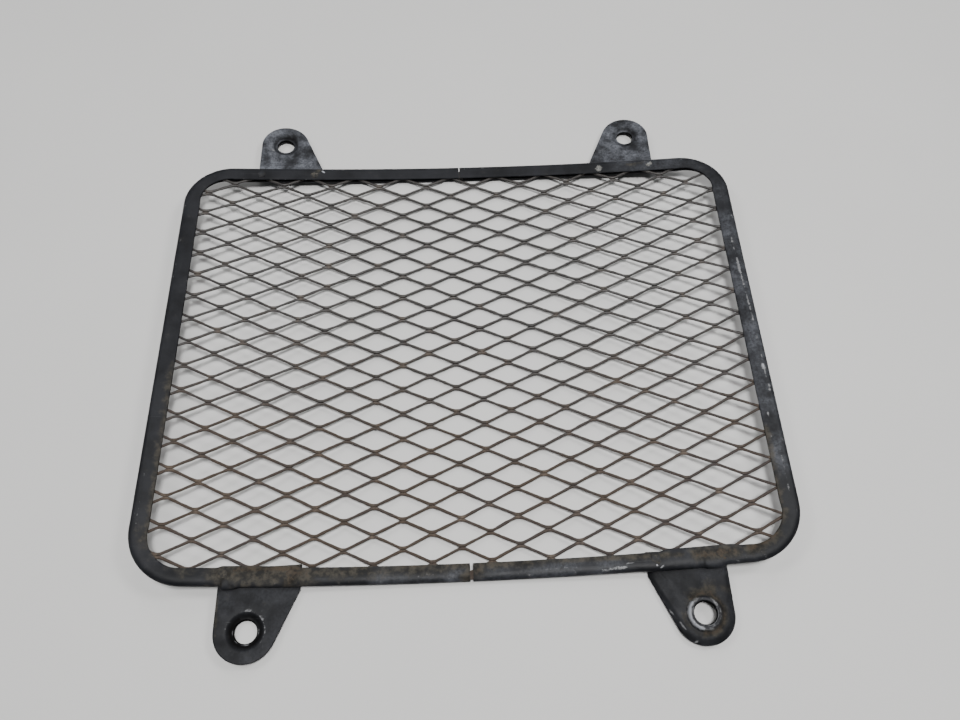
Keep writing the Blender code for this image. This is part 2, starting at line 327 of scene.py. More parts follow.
class Nodes:
    """A node tree that is being built: each call adds one node and returns its output."""

    def __init__(self, tree):
        self.tree = tree

    def add(self, kind, inputs=None, output=0, **settings):
        node = self.tree.nodes.new(kind)
        for key, value in settings.items():
            setattr(node, key, value)
        for key, value in (inputs or {}).items():
            if isinstance(value, bpy.types.NodeSocket):
                self.tree.links.new(value, node.inputs[key])
            else:
                node.inputs[key].default_value = value
        return node.outputs[output]

    def calc(self, operation, *values, clamp=False):
        inputs = dict(enumerate(values))
        return self.add("ShaderNodeMath", inputs, operation=operation, use_clamp=clamp)

    def plus(self, first, second):
        return self.calc("ADD", first, second)

    def minus(self, first, second):
        return self.calc("SUBTRACT", first, second)

    def times(self, first, second):
        return self.calc("MULTIPLY", first, second)

    def greater(self, first, second):
        """True where first is more than second."""
        return self.add("FunctionNodeCompare", {0: first, 1: second}, operation="GREATER_THAN")

    def part(self, vector, axis):
        """One of a vector's three numbers."""
        return self.add("ShaderNodeSeparateXYZ", {0: vector}, output=axis)

    def attribute(self, name):
        return self.add("ShaderNodeAttribute", output="Fac", attribute_name=name)

    def band(self, value, low, high):
        """Zero below low, one above high, smooth between."""
        inputs = {"Value": value, "From Min": low, "From Max": high}
        return self.add("ShaderNodeMapRange", inputs, interpolation_type="SMOOTHSTEP")

    def noise(self, vector, scale, detail, roughness):
        inputs = {"Vector": vector, "Scale": scale, "Detail": detail, "Roughness": roughness}
        return self.add("ShaderNodeTexNoise", inputs)

    def mix(self, share, first, second):
        """A colour between first and second."""
        inputs = {0: share, 6: first, 7: second}
        return self.add("ShaderNodeMix", inputs, output=2, data_type="RGBA")

    def blend(self, share, first, second):
        """A number between first and second."""
        return self.add("ShaderNodeMix", {0: share, 2: first, 3: second})

    def stretched(self, vector, scale, turn):
        """A place scaled along each axis and turned, for streaks."""
        inputs = {"Vector": vector, "Scale": scale, "Rotation": (0, 0, math.radians(turn))}
        return self.add("ShaderNodeMapping", inputs)


def new_material(name):
    material = bpy.data.materials.new(name)
    material.use_nodes = True
    tree = material.node_tree
    return material, Nodes(tree), tree.nodes["Principled BSDF"]


# The paint's colours, each pair from its darkest to its palest
SATIN_BLACK = ((0.0035, 0.0038, 0.0050, 1), (0.0105, 0.0110, 0.0135, 1))
# the chalky film, also the colour of the painted sheen
CHALKY_FILM_AND_SHEEN = (0.104, 0.110, 0.126, 1)
GREY_STEEL = ((0.085, 0.088, 0.092, 1), (0.240, 0.240, 0.245, 1))
# bright steel, also the colour of the painted highlights
BRIGHT_STEEL_AND_GLINT = (0.375, 0.388, 0.425, 1)
BROWN_STAIN = ((0.017, 0.0155, 0.0125, 1), (0.072, 0.065, 0.052, 1))
DARK_RUST = ((0.020, 0.014, 0.010, 1), (0.080, 0.057, 0.037, 1))
# dark dirt, also the colour of the painted shade
DARK_DIRT_AND_SHADE = (0.0025, 0.0022, 0.0020, 1)


def satin_black_paint(name, bare_metal, fineness=1.0):
    """Old satin black: blue-black clouds under a hazy film that also carries painted sheen, fine
    scratches, bare steel where it is rubbed through, bright steel for painted highlights, brown
    stains, rust that creeps under the paint, and dark dirt that also carries painted shade."""
    material, nodes, shader = new_material(name)
    place = nodes.add("ShaderNodeTexCoord", output="Object")
    pale_mark, rusted, dirt_and_shade, film_and_sheen = [nodes.attribute(kind) for kind in MARK_KINDS]
    clouds = nodes.noise(place, 60, 5, 0.6)
    patches = nodes.noise(place, 260 * fineness, 6, 0.65)
    speckle = nodes.noise(place, 850 * fineness, 3, 0.6)
    grit = nodes.noise(place, 2200, 2, 0.6)

    # sound paint, and the chalky film and painted sheen on it
    paint = nodes.mix(nodes.band(clouds, 0.35, 0.65), *SATIN_BLACK)
    chalk = nodes.noise(place, 130, 5, 0.6)
    film_and_painted_light = nodes.times(nodes.band(chalk, 0.28, 0.75), nodes.band(speckle, 0.10, 0.75))
    film_and_painted_light = nodes.times(film_and_painted_light, nodes.blend(nodes.band(clouds, 0.40, 0.62), 0.5, 1.0))
    film_and_painted_light = nodes.times(film_and_painted_light, film_and_sheen)
    paint = nodes.mix(film_and_painted_light, paint, CHALKY_FILM_AND_SHEEN)

    # bare steel and painted highlights, in worn patches and faint scratches
    along = nodes.noise(nodes.stretched(place, (40, 1100, 200), 8), 1.0, 4, 0.6)
    across = nodes.noise(nodes.stretched(place, (900, 60, 200), -31), 1.0, 4, 0.6)
    scratches = nodes.calc("MAXIMUM", nodes.band(along, 0.68, 0.74), nodes.band(across, 0.70, 0.76))
    uneven = nodes.times(nodes.minus(patches, 0.5), 1.3)
    fine = nodes.times(nodes.minus(speckle, 0.5), 0.9)
    pale_patches = nodes.band(nodes.plus(pale_mark, nodes.plus(uneven, fine)), 0.44, 0.74)
    faint = nodes.times(scratches, nodes.plus(0.12, nodes.times(pale_mark, 0.6)))
    pale_share = nodes.calc("MAXIMUM", pale_patches, faint, clamp=True)
    steel = nodes.mix(speckle, *bare_metal)
    steel = nodes.mix(nodes.band(pale_mark, 0.70, 1.05), steel, BRIGHT_STEEL_AND_GLINT)

    # stains about the rust, and the rust itself
    creeping = nodes.plus(rusted, nodes.times(nodes.minus(patches, 0.52), 1.2))
    stained = nodes.band(creeping, 0.05, 0.65)
    flaking = nodes.band(nodes.plus(creeping, fine), 0.55, 1.05)
    stain = nodes.mix(nodes.band(patches, 0.35, 0.68), *BROWN_STAIN)
    rust = nodes.mix(grit, *DARK_RUST)

    # all of it together: colour, shine, gloss and grain
    colour = nodes.mix(nodes.times(pale_share, 0.9), paint, steel)
    colour = nodes.mix(nodes.times(stained, 0.70), colour, stain)
    colour = nodes.mix(nodes.times(flaking, 0.65), colour, rust)
    # dark dirt and painted shade
    colour = nodes.mix(nodes.times(dirt_and_shade, 0.90), colour, DARK_DIRT_AND_SHADE)
    tree = material.node_tree
    tree.links.new(colour, shader.inputs["Base Color"])
    tree.links.new(nodes.blend(dirt_and_shade, 0.19, 0.04), shader.inputs["Specular IOR Level"])
    metal = nodes.calc("MULTIPLY", pale_share, nodes.minus(0.30, flaking), clamp=True)
    tree.links.new(metal, shader.inputs["Metallic"])
    gloss = nodes.blend(patches, 0.40, 0.60)
    dull = nodes.calc("MAXIMUM", nodes.calc("MAXIMUM", stained, flaking), dirt_and_shade)
    tree.links.new(nodes.blend(dull, gloss, 0.85), shader.inputs["Roughness"])
    height = nodes.times(grit, nodes.blend(flaking, 0.30, 1.0))
    height = nodes.plus(height, nodes.times(speckle, 0.8))
    height = nodes.minus(height, nodes.times(pale_share, 0.8))
    bump = {"Height": height, "Strength": 0.5, "Distance": 0.00010}
    tree.links.new(nodes.add("ShaderNodeBump", bump), shader.inputs["Normal"])
    return material


def channel_half(node, side, material):
    """One of the two lengths of channel, to the right or (side -1) to the left."""
    outline = half_outline(side)
    shape = bmesh.new()
    loops = []
    vertex_marks = []
    for i, place in enumerate(outline):
        ahead = outline[min(i + 1, len(outline) - 1)] - outline[max(i - 1, 0)]
        inward = side * Vector((ahead.y, -ahead.x)).normalized()
        front = flange_width(place.x, place.y)
        back = front - SIDE_BACK_SHORT * on_side(place.x)
        outwards, inwards = pressed_out(place.x, place.y)
        loop = []
        for depth, height, rub in channel_section(front, back):
            share = depth / front
            depth += inwards * share - outwards * (1 - share)
            spot_on = place + inward * depth
            ripple = noise.noise(Vector((spot_on.x, spot_on.y, height)) * 90)
            dent = noise.noise(Vector((spot_on.x, spot_on.y, 5.0)) * 35)
            lean = ripple * RIPPLE * smooth_step(depth, 0.001, 0.004)
            height += lean + dent * DENT * smooth_step(depth, 0.002, 0.006)
            loop.append(shape.verts.new((spot_on.x, spot_on.y, bow(spot_on.x) + height)))
            top = 1.0 if height > 0 else 0.3
            # pale marks: worn paint, and the painted highlight down the right bar's fold
            pale_share = max(rub * (0.6 + 0.4 * ripple), top * worst(CHANNEL_SCUFFS_AND_GLINTS, *spot_on))
            # painted shade inside the channel between its flanges, and in its creases
            inside = depth > CHANNEL_DEPTH / 2 and abs(height) < CHANNEL_DEPTH / 2 - CHANNEL_SHEET
            darkening = INSIDE_SHADE if inside else top * worst(CHANNEL_CREASE_SHADE, *spot_on)
            # chalky film, and painted sheen on the bars
            film_and_sheen_level = LEAST_HAZE + worst(CHANNEL_FILM_AND_SHEEN, *spot_on)
            vertex_marks.append((pale_share, worst(CHANNEL_RUST, *spot_on), darkening, film_and_sheen_level))
        loops.append(loop)
    skin(shape, loops)
    shape.faces.new(loops[0])
    shape.faces.new(loops[-1])
    obj = finished("edge_" + node, shape, material)
    store_marks(obj.data, vertex_marks)
    stand_for(obj, node)


frame_paint = satin_black_paint("satin_black_paint", GREY_STEEL)
channel_half("channel_left", -1, frame_paint)
channel_half("channel_right", 1, frame_paint)


# ---------------------------------------------------------------------------------------
# Expanded mesh. One sheet of thin steel, slit and pulled open into rows of diamonds, cut to
# a rounded rectangle with its cut edge inside the channel. Thin dark paint, gone to brown
# rust towards the lower edge.

LONG_WAY = 0.0254
SHORT_WAY = 0.01265
JUNCTION = (0.0086, -0.0019)  # the lattice junction nearest to the middle
MESH_INSET = 0.0030  # from the channel's outer edge to the mesh's cut edge
MESH_HOLLOW = 0.0010  # the sheet lies this much lower at its middle
STRAND_WIDTH = 0.00126
STRAND_THICK = 0.00095
STRAND_LEAN = 20  # degrees that a strand is twisted out of the sheet
BOND_LENGTH = 0.0019
WAVINESS = 0.0007  # how far the strands wander off their true places
# Bits of uncut sheet that show in the channel's two seams: opposite corners
SEAM_WEBS = (((-0.0020, 0.1042), (0.0026, 0.1086)), ((-0.0018, -0.1108), (0.0030, -0.1072)))
HALF_PERIODS = 26  # half diamonds along each strand
ROWS = 41  # strands
STEPS_PER_HALF = 11


def strand_rows(nodes):
    """A row of points for each strand, with the edges between rows taken away."""
    columns = HALF_PERIODS * STEPS_PER_HALF + 1
    inputs = {"Size X": HALF_PERIODS, "Size Y": ROWS - 1, "Vertices X": columns, "Vertices Y": ROWS}
    grid = nodes.add("GeometryNodeMeshGrid", inputs)
    ends = [nodes.add("GeometryNodeInputMeshEdgeVertices", output=end) for end in (2, 3)]
    apart = nodes.calc("ABSOLUTE", nodes.minus(*[nodes.part(end, 1) for end in ends]))
    inputs = {"Geometry": grid, "Selection": nodes.greater(apart, 0.5)}
    return nodes.add("GeometryNodeDeleteGeometry", inputs, domain="EDGE", mode="EDGE_FACE")


def soft_distance(nodes, value, target):
    """How far value is from target, rounded off near it."""
    off = nodes.minus(value, target)
    return nodes.calc("SQRT", nodes.calc("MULTIPLY_ADD", off, off, 0.0007))


def zigzag(nodes, size, along, row):
    """A strand's climb from its lower bond (0) to its upper bond (1), level at both."""
    share = nodes.calc("PINGPONG", nodes.plus(along, row), 1.0)
    level = nodes.calc("DIVIDE", size["Bond Length"], size["Long Way"])
    early = soft_distance(nodes, share, level)
    late = soft_distance(nodes, share, nodes.minus(1.0, level))
    spread = nodes.calc("MULTIPLY_ADD", level, -4.0, 2.0)
    return nodes.plus(nodes.calc("DIVIDE", nodes.minus(early, late), spread), 0.5)


def lattice_place(nodes, size, along, row, climb):
    """Where a strand's point lies in the flat sheet."""
    lower = nodes.calc("MULTIPLY_ADD", climb, -2.0, 1.0)  # 1 at the lower bond, -1 at the upper
    x = nodes.times(along, nodes.times(size["Long Way"], 0.5))
    y = nodes.times(nodes.plus(row, climb), nodes.times(size["Short Way"], 0.5))
    y = nodes.plus(y, nodes.times(lower, nodes.times(size["Strand Width"], 0.40)))
    z = nodes.times(lower, nodes.times(size["Strand Thickness"], 0.30))
    # out of square: a turn small enough to be a shear both ways
    turned_x = nodes.minus(x, nodes.times(y, size["Slope"]))
    turned_y = nodes.plus(y, nodes.times(x, size["Slope"]))
    return (
        nodes.plus(turned_x, size["Junction X"]),
        nodes.plus(turned_y, size["Junction Y"]),
        z,
    )


def crown_share(nodes, size, x):
    """One at the middle of the upper and lower bars, nothing at the sides."""
    share = nodes.calc("DIVIDE", x, size["Half Width"])
    return nodes.minus(1.0, nodes.times(share, share))


def outside_cut(nodes, size, x, y):
    """True past the rounded outline that the sheet is cut to."""
    squared = nodes.minus(y, nodes.times(x, size["Slope"]))
    rise = nodes.times(crown_share(nodes, size, x), size["Crown"])
    stretch = nodes.plus(1.0, nodes.calc("DIVIDE", rise, size["Half Height"]))
    squared = nodes.calc("DIVIDE", squared, stretch)
    corner_x = nodes.minus(size["Half Width"], size["Corner Radius"])
    corner_y = nodes.minus(size["Half Height"], nodes.plus(size["Crown"], size["Corner Radius"]))
    over_x = nodes.minus(nodes.calc("ABSOLUTE", x), corner_x)
    over_y = nodes.minus(nodes.calc("ABSOLUTE", squared), corner_y)
    far_x = nodes.calc("MAXIMUM", over_x, 0.0)
    far_y = nodes.calc("MAXIMUM", over_y, 0.0)
    far = nodes.calc("SQRT", nodes.plus(nodes.times(far_x, far_x), nodes.times(far_y, far_y)))
    near = nodes.calc("MINIMUM", nodes.calc("MAXIMUM", over_x, over_y), 0.0)
    reach = nodes.minus(size["Corner Radius"], size["Inset"])
    return nodes.greater(nodes.plus(far, near), reach)


def bowed_height(nodes, size, x, y):
    """Height of the sheet above the floor: bowed across its width, and hollow."""
    bowed = nodes.calc("DIVIDE", nodes.times(x, x), nodes.times(size["Bow Radius"], 2.0))
    share = nodes.calc("DIVIDE", y, size["Half Height"])
    across = nodes.minus(1.0, nodes.times(share, share))
    hollow = nodes.times(nodes.times(across, crown_share(nodes, size, x)), size["Hollow"])
    return nodes.plus(size["Middle Height"], nodes.minus(bowed, hollow))


def strand_profile(nodes, size):
    """A strand's cross-section: a rectangle with softened corners."""
    inputs = {"Width": size["Strand Width"], "Height": size["Strand Thickness"]}
    rectangle = nodes.add("GeometryNodeCurvePrimitiveQuadrilateral", inputs)
    inputs = {"Curve": rectangle, "Radius": nodes.times(size["Strand Thickness"], 0.30)}
    return nodes.add("GeometryNodeFilletCurve", inputs, mode="BEZIER")


def mesh_tree(sizes):
    """Rows of strands zigzag between bonds, are cut to the outline, bowed and made solid."""
    tree = bpy.data.node_groups.new("expanded_mesh", "GeometryNodeTree")
    for name in sizes:
        tree.interface.new_socket(name=name, in_out="INPUT", socket_type="NodeSocketFloat")
    tree.interface.new_socket(name="Material", in_out="INPUT", socket_type="NodeSocketMaterial")
    tree.interface.new_socket(name="Geometry", in_out="OUTPUT", socket_type="NodeSocketGeometry")
    nodes = Nodes(tree)
    group = tree.nodes.new("NodeGroupInput")
    size = {socket.name: socket for socket in group.outputs}

    # the flat lattice, from counts along and across to metres
    rows = strand_rows(nodes)
    counted = nodes.add("GeometryNodeInputPosition")
    along = nodes.part(counted, 0)
    row = nodes.calc("ROUND", nodes.part(counted, 1))
    climb = zigzag(nodes, size, along, row)
    bond = nodes.calc("ABSOLUTE", nodes.calc("MULTIPLY_ADD", climb, 2.0, -1.0))
    inputs = {"Geometry": rows, "Name": "bond", "Value": nodes.band(bond, 0.86, 1.0)}
    rows = nodes.add("GeometryNodeStoreNamedAttribute", inputs, domain="POINT", data_type="FLOAT")
    lattice = dict(enumerate(lattice_place(nodes, size, along, row, climb)))
    place = nodes.add("ShaderNodeCombineXYZ", lattice)
    sheet = nodes.add("GeometryNodeSetPosition", {"Geometry": rows, "Position": place})

    # cut to the outline, made a little uneven, and bowed
    place = nodes.add("GeometryNodeInputPosition")
    x, y = nodes.part(place, 0), nodes.part(place, 1)
    inputs = {"Geometry": sheet, "Selection": outside_cut(nodes, size, x, y)}
    sheet = nodes.add("GeometryNodeDeleteGeometry", inputs, domain="POINT", mode="ALL")
    inputs = {"Vector": place, "Scale": 70.0, "Detail": 1.0}
    uneven = nodes.add("ShaderNodeTexNoise", inputs, output=1)
    inputs = {0: uneven, 1: (0.5, 0.5, 0.5)}
    uneven = nodes.add("ShaderNodeVectorMath", inputs, operation="SUBTRACT")
    uneven = nodes.add("ShaderNodeVectorMath", {0: uneven, 3: size["Waviness"]}, operation="SCALE")
    lifted = nodes.add("ShaderNodeCombineXYZ", {2: bowed_height(nodes, size, x, y)})
    offset = nodes.add("ShaderNodeVectorMath", {0: uneven, 1: lifted}, operation="ADD")
    sheet = nodes.add("GeometryNodeSetPosition", {"Geometry": sheet, "Offset": offset})

    # each strand made solid, thicker here and thinner there, and thickest at its bonds
    strands = nodes.add("GeometryNodeMeshToCurve", {"Mesh": sheet})
    strands = nodes.add("GeometryNodeSetCurveNormal", {"Curve": strands}, mode="Z_UP")
    strands = nodes.add("GeometryNodeSetCurveTilt", {"Curve": strands, "Tilt": size["Lean"]})
    place = nodes.add("GeometryNodeInputPosition")
    swell = nodes.add("ShaderNodeTexNoise", {"Vector": place, "Scale": 260.0})
    at_bond = nodes.add("GeometryNodeInputNamedAttribute", {"Name": "bond"}, data_type="FLOAT")
    swell = nodes.calc("MULTIPLY_ADD", at_bond, 0.16, nodes.calc("MULTIPLY_ADD", swell, 0.70, 0.64))
    profile = strand_profile(nodes, size)
    inputs = {"Curve": strands, "Profile Curve": profile, "Scale": swell, "Fill Caps": True}
    solid = nodes.add("GeometryNodeCurveToMesh", inputs)
    solid = nodes.add("GeometryNodeSetShadeSmooth", {"Geometry": solid})
    solid = nodes.add("GeometryNodeRealizeInstances", {0: solid})
    solid = nodes.add("GeometryNodeSetMaterial", {"Geometry": solid, "Material": size["Material"]})
    tree.links.new(solid, tree.nodes.new("NodeGroupOutput").inputs[0])
    return tree


# The mesh's colours, each pair from its darkest to its palest
THIN_PAINT = ((0.009, 0.0078, 0.0072, 1), (0.029, 0.024, 0.021, 1))
BROWN_RUST = ((0.019, 0.0135, 0.0095, 1), (0.070, 0.048, 0.033, 1))
PURPLE_RUST = ((0.016, 0.0125, 0.0115, 1), (0.056, 0.042, 0.036, 1))
RUBBED_BOND = (0.150, 0.115, 0.086, 1)


def weathered_mesh_steel():
    """Thin dark paint, dull and dusty, worn to rust brown: more towards the lower edge, and
    lighter on the bonds where things have rubbed."""
    material, nodes, shader = new_material("weathered_mesh_steel")
    place = nodes.add("ShaderNodeTexCoord", output="Object")
    bond = nodes.attribute("bond")
    low = nodes.band(nodes.part(place, 1), 0.085, -0.115)
    clouds = nodes.noise(place, 26, 4, 0.6)
    blotches = nodes.noise(place, 130, 5, 0.65)
    grit = nodes.noise(place, 1300, 4, 0.65)
    paint = nodes.mix(clouds, *THIN_PAINT)
    brown = nodes.mix(grit, *BROWN_RUST)
    purple = nodes.mix(grit, *PURPLE_RUST)
    rust = nodes.mix(nodes.band(clouds, 0.40, 0.62), brown, purple)
    rusted = nodes.plus(nodes.times(low, 0.55), nodes.times(blotches, 0.75))
    rusted = nodes.band(rusted, 0.46, 0.88)
    colour = nodes.mix(rusted, paint, rust)
    chipped = nodes.band(nodes.plus(blotches, nodes.times(grit, 0.4)), 0.66, 0.90)
    pale_mark = nodes.times(nodes.times(bond, chipped), nodes.blend(low, 0.30, 0.75))
    colour = nodes.mix(pale_mark, colour, RUBBED_BOND)
    tree = material.node_tree
    tree.links.new(colour, shader.inputs["Base Color"])
    tree.links.new(nodes.blend(rusted, 0.50, 0.85), shader.inputs["Roughness"])
    bump = {"Height": nodes.plus(grit, blotches), "Strength": 0.5, "Distance": 0.00010}
    tree.links.new(nodes.add("ShaderNodeBump", bump), shader.inputs["Normal"])
    return material


MESH_SIZES = {
    "Long Way": LONG_WAY, "Short Way": SHORT_WAY, "Bond Length": BOND_LENGTH,
    "Strand Width": STRAND_WIDTH, "Strand Thickness": STRAND_THICK,
    "Lean": math.radians(STRAND_LEAN), "Waviness": WAVINESS, "Slope": OUT_OF_SQUARE,
    "Junction X": JUNCTION[0], "Junction Y": JUNCTION[1],
    "Half Width": HALF_WIDTH, "Half Height": HALF_HEIGHT, "Crown": BAR_CROWN,
    "Corner Radius": CORNER_RADIUS, "Inset": MESH_INSET, "Bow Radius": BOW_RADIUS,
    "Hollow": MESH_HOLLOW, "Middle Height": MIDDLE_HEIGHT,
}


def expanded_sheet(name, sizes, material):
    """The whole mesh as one piece, with the bits of sheet that show in the seams."""
    host = new_object(name + "_maker", bpy.data.meshes.new(name))
    maker = host.modifiers.new("strands", "NODES")
    maker.node_group = mesh_tree(sizes)
    for socket in maker.node_group.interface.items_tree:
        if socket.in_out == "INPUT":
            value = material if socket.name == "Material" else sizes[socket.name]
            maker[socket.identifier] = value
    graph = bpy.context.evaluated_depsgraph_get()
    mesh = bpy.data.meshes.new_from_object(host.evaluated_get(graph))
    bpy.data.objects.remove(host)
    shape = bmesh.new()
    shape.from_mesh(mesh)
    for low, high in SEAM_WEBS:
        middle = (Vector(low) + Vector(high)) / 2
        size = (high[0] - low[0], high[1] - low[1], STRAND_THICK)
        place = Matrix.Translation((*middle, MIDDLE_HEIGHT)) @ Matrix.Diagonal((*size, 1))
        bmesh.ops.create_cube(shape, size=1, matrix=place)
    shape.to_mesh(mesh)
    shape.free()
    return new_object(name, mesh)


diamonds = expanded_sheet("diamond_mesh", MESH_SIZES, weathered_mesh_steel())
stand_for(diamonds, "expanded_mesh")


# ---------------------------------------------------------------------------------------
# Bolt-on tabs. Four blanks of 1.8 mm sheet, round at the free end, each spot-welded behind
# the channel. The bolt holes of the upper pair sit in a shallow dished ring. The lower left
# hole is drawn away to the back, the lower right one out to the front as a raised collar.

TAB_END_RADIUS = 0.0127
TAB_SLANT = (-0.0211, -0.0160)  # from the hole to the foot of the slanted side
TAB_SHEET = 0.0018
TAB_EDGE = 0.00035  # how round its edges are
RIM_STEP = 0.0011
END_STEPS = 48
TAB_TOP = -CHANNEL_DEPTH / 2 + 0.0001  # pressed a touch into the channel's back
TAB_RIPPLE = 0.00008
TAB_EDGE_RUBBED = 0.35
HOLES = {
    "upper_left": Vector((-0.0954, 0.1283)),
    "upper_right": Vector((0.0942, 0.1308)),
    "lower_left": Vector((-0.0924, -0.1287)),
    "lower_right": Vector((0.0965, -0.1280)),
}
# From the hole to the hidden end of the root, on its outer and on its slanted side
ROOTS = {
    "upper_left": (0.0245, 0.0245), "upper_right": (0.0245, 0.0245),
    "lower_left": (0.0250, 0.0267), "lower_right": (0.0262, 0.0266),
}
# Of each stamping: the hole, the end of its lip, its foot, and how far it rises
STAMPINGS = {
    "upper_left": (0.0045, 0.0048, 0.0079, -0.0010),
    "upper_right": (0.0044, 0.0047, 0.0079, -0.0010),
    "lower_left": (0.0050, 0.0052, 0.0080, -0.0016),
    "lower_right": (0.0050, 0.0061, 0.0079, 0.0016),
}
TAB_FILM_AND_SHEEN = {"upper": 1.80, "lower": 0.25}  # chalky film and painted sheen, and thin dirt and painted shade, all over each
TAB_DIRT_AND_SHADE = {"upper": 0.0, "lower": 0.27}
BORE_TAPER = {"upper": 0.0001, "lower": 0.0005}  # the bore is this much tighter at the back
ROLLED_EDGE = {"lower_right": 0.0015}  # how far the shears dragged a tab's edge down
ROLL_WIDTH = 0.0034
ROLL_AT_BACK = 0.3  # the share of it that reaches the back
RING_FADE = 10  # degrees over which the end of a ring of wear fades
# Rings about each hole, painted highlights on the lit side of each stamped ring, rim and collar, on
# worn paint at the lower right collar: radius, half width, the angles it spans, how strong
RING_GLINTS_AND_WEAR = {
    "upper_left": (
        (0.0047, 0.0003, 150, 330, 0.50), (0.0047, 0.0003, 20, 80, 0.35),
    ),
    "upper_right": (
        (0.0047, 0.0003, 190, 350, 0.40), (0.0047, 0.0003, 60, 130, 0.40),
    ),
    "lower_left": (
        (0.0079, 0.0005, -35, 100, 0.53), (0.0079, 0.0005, 100, 190, 0.42),
        (0.0052, 0.0003, 176, 190, 0.85), (0.0052, 0.0003, -12, 8, 0.85),
        (0.0052, 0.0003, 222, 232, 0.75), (0.0052, 0.0003, 258, 285, 0.80),
    ),
    "lower_right": (
        (0.0065, 0.0009, 135, 255, 1.00), (0.0066, 0.0010, 115, 290, 0.66),
        (0.0058, 0.0008, 0, 360, 0.50), (0.0062, 0.0003, -60, 110, 0.62),
        (0.0051, 0.0003, 150, 380, 0.80),
    ),
}
RING_RUST = {
    "upper_left": ((0.0060, 0.0012, 0, 360, 0.10),),
    "upper_right": ((0.0060, 0.0012, 0, 360, 0.10),),
    "lower_left": ((0.0058, 0.0012, 0, 360, 0.10),),
    "lower_right": ((0.0080, 0.0014, -100, 130, 0.85), (0.0084, 0.0010, 130, 250, 0.45)),
}
# Painted shade in the dished rings and cones about each hole: radius, half width, the angles it
# spans, how strong
RING_SHADE = {
    "upper_left": ((0.0058, 0.0013, 0, 360, 0.75), (0.0060, 0.0010, 150, 390, 0.80)),
    "upper_right": ((0.0060, 0.0013, -30, 120, 0.75), (0.0058, 0.0012, 0, 360, 0.50)),
    "lower_left": ((0.0060, 0.0015, 0, 360, 0.75), (0.0058, 0.0012, 120, 330, 1.0)),
    "lower_right": ((0.0078, 0.0010, 250, 290, 0.20),),
}
# Other marks on the tabs: from here to there, so wide, so strong
# Painted shade along the lower right tab's slanted side, and where the lower tabs meet the channel
TAB_SHADE = (
    ((0.0738, -0.1120), (0.0838, -0.1325), 0.0011, 0.80),
    ((0.0838, -0.1325), (0.0925, -0.1395), 0.0010, 0.65),
    ((-0.1045, -0.1125), (-0.0715, -0.1118), 0.0006, 0.50),
    ((0.0745, -0.1128), (0.1090, -0.1105), 0.0006, 0.50),
)
# Scuffs; the first two, along the lower right tab's rolled edge, are a painted highlight on worn
# paint
TAB_SCUFFS_AND_GLINTS = (
    ((0.0822, -0.1254), (0.0880, -0.1340), 0.0005, 0.66),
    ((0.0762, -0.1150), (0.0822, -0.1254), 0.0004, 0.40),
    ((0.0835, -0.1150), (0.0860, -0.1160), 0.0012, 0.36),
    ((-0.1000, 0.1195), (-0.0935, 0.1190), 0.0018, 0.36),
    ((0.0925, 0.1180), (0.1010, 0.1190), 0.0020, 0.30),
    ((0.0905, -0.1392), (0.0918, -0.1388), 0.0007, 0.80),
    ((-0.1030, 0.1255), (-0.1015, 0.1240), 0.0007, 0.60),
    ((-0.0830, 0.1330), (-0.0810, 0.1290), 0.0003, 0.45),
    ((0.1015, 0.1225), (0.1050, 0.1260), 0.0004, 0.35),
    ((-0.0810, -0.1250), (-0.0790, -0.1200), 0.0004, 0.40),
)
TAB_RUST = (
    ((-0.0920, -0.1010), (-0.0715, -0.1010), 0.0030, 1.00),
    ((0.0770, -0.1005), (0.1080, -0.1000), 0.0030, 1.00),
    ((-0.1050, -0.1150), (-0.1040, -0.1300), 0.0006, 0.50),
    ((0.0995, -0.1170), (0.1080, -0.1185), 0.0020, 0.45),
)


def ring_mark(rings, offset):
    """The strongest mark of the rings at a place so far from the hole."""
    angle = math.degrees(math.atan2(offset.y, offset.x))
    strongest = 0.0
    for radius, half_width, start, end, much in rings:
        turned = (angle - start + 2 * RING_FADE) % 360 + start - 2 * RING_FADE
        off = (offset.length - radius) / half_width
        inside = 1.0 if end - start >= 360 else window(turned, start, end, RING_FADE)
        strongest = max(strongest, much * inside * math.exp(-off * off))
    return strongest


def tab_rim(root):
    """Evenly spaced points of a tab's outline about its hole: round end, upright outer side
    (+X), slanted inner side."""
    inner = Vector(TAB_SLANT)
    towards_end = math.degrees(math.atan2(-inner.y, -inner.x))
    half_angle = math.degrees(math.asin(TAB_END_RADIUS / inner.length))
    corners = [(TAB_END_RADIUS, -root[0])]
    corners += arc((0, 0), TAB_END_RADIUS, 0, towards_end + half_angle + 90, END_STEPS)
    corners += [tuple(inner), (inner.x, -root[1]), corners[0]]
    points = []
    for start, end in zip(corners, corners[1:]):
        run = Vector(end) - Vector(start)
        steps = max(1, round(run.length / RIM_STEP))
        points += [Vector(start) + run * (i / steps) for i in range(steps)]
    return points


FRONT_POINTS = 19  # a section's first points lie on the front face and its outer edge
BORE_POINTS = 5  # its last ones in the bore, the last two of them at the front


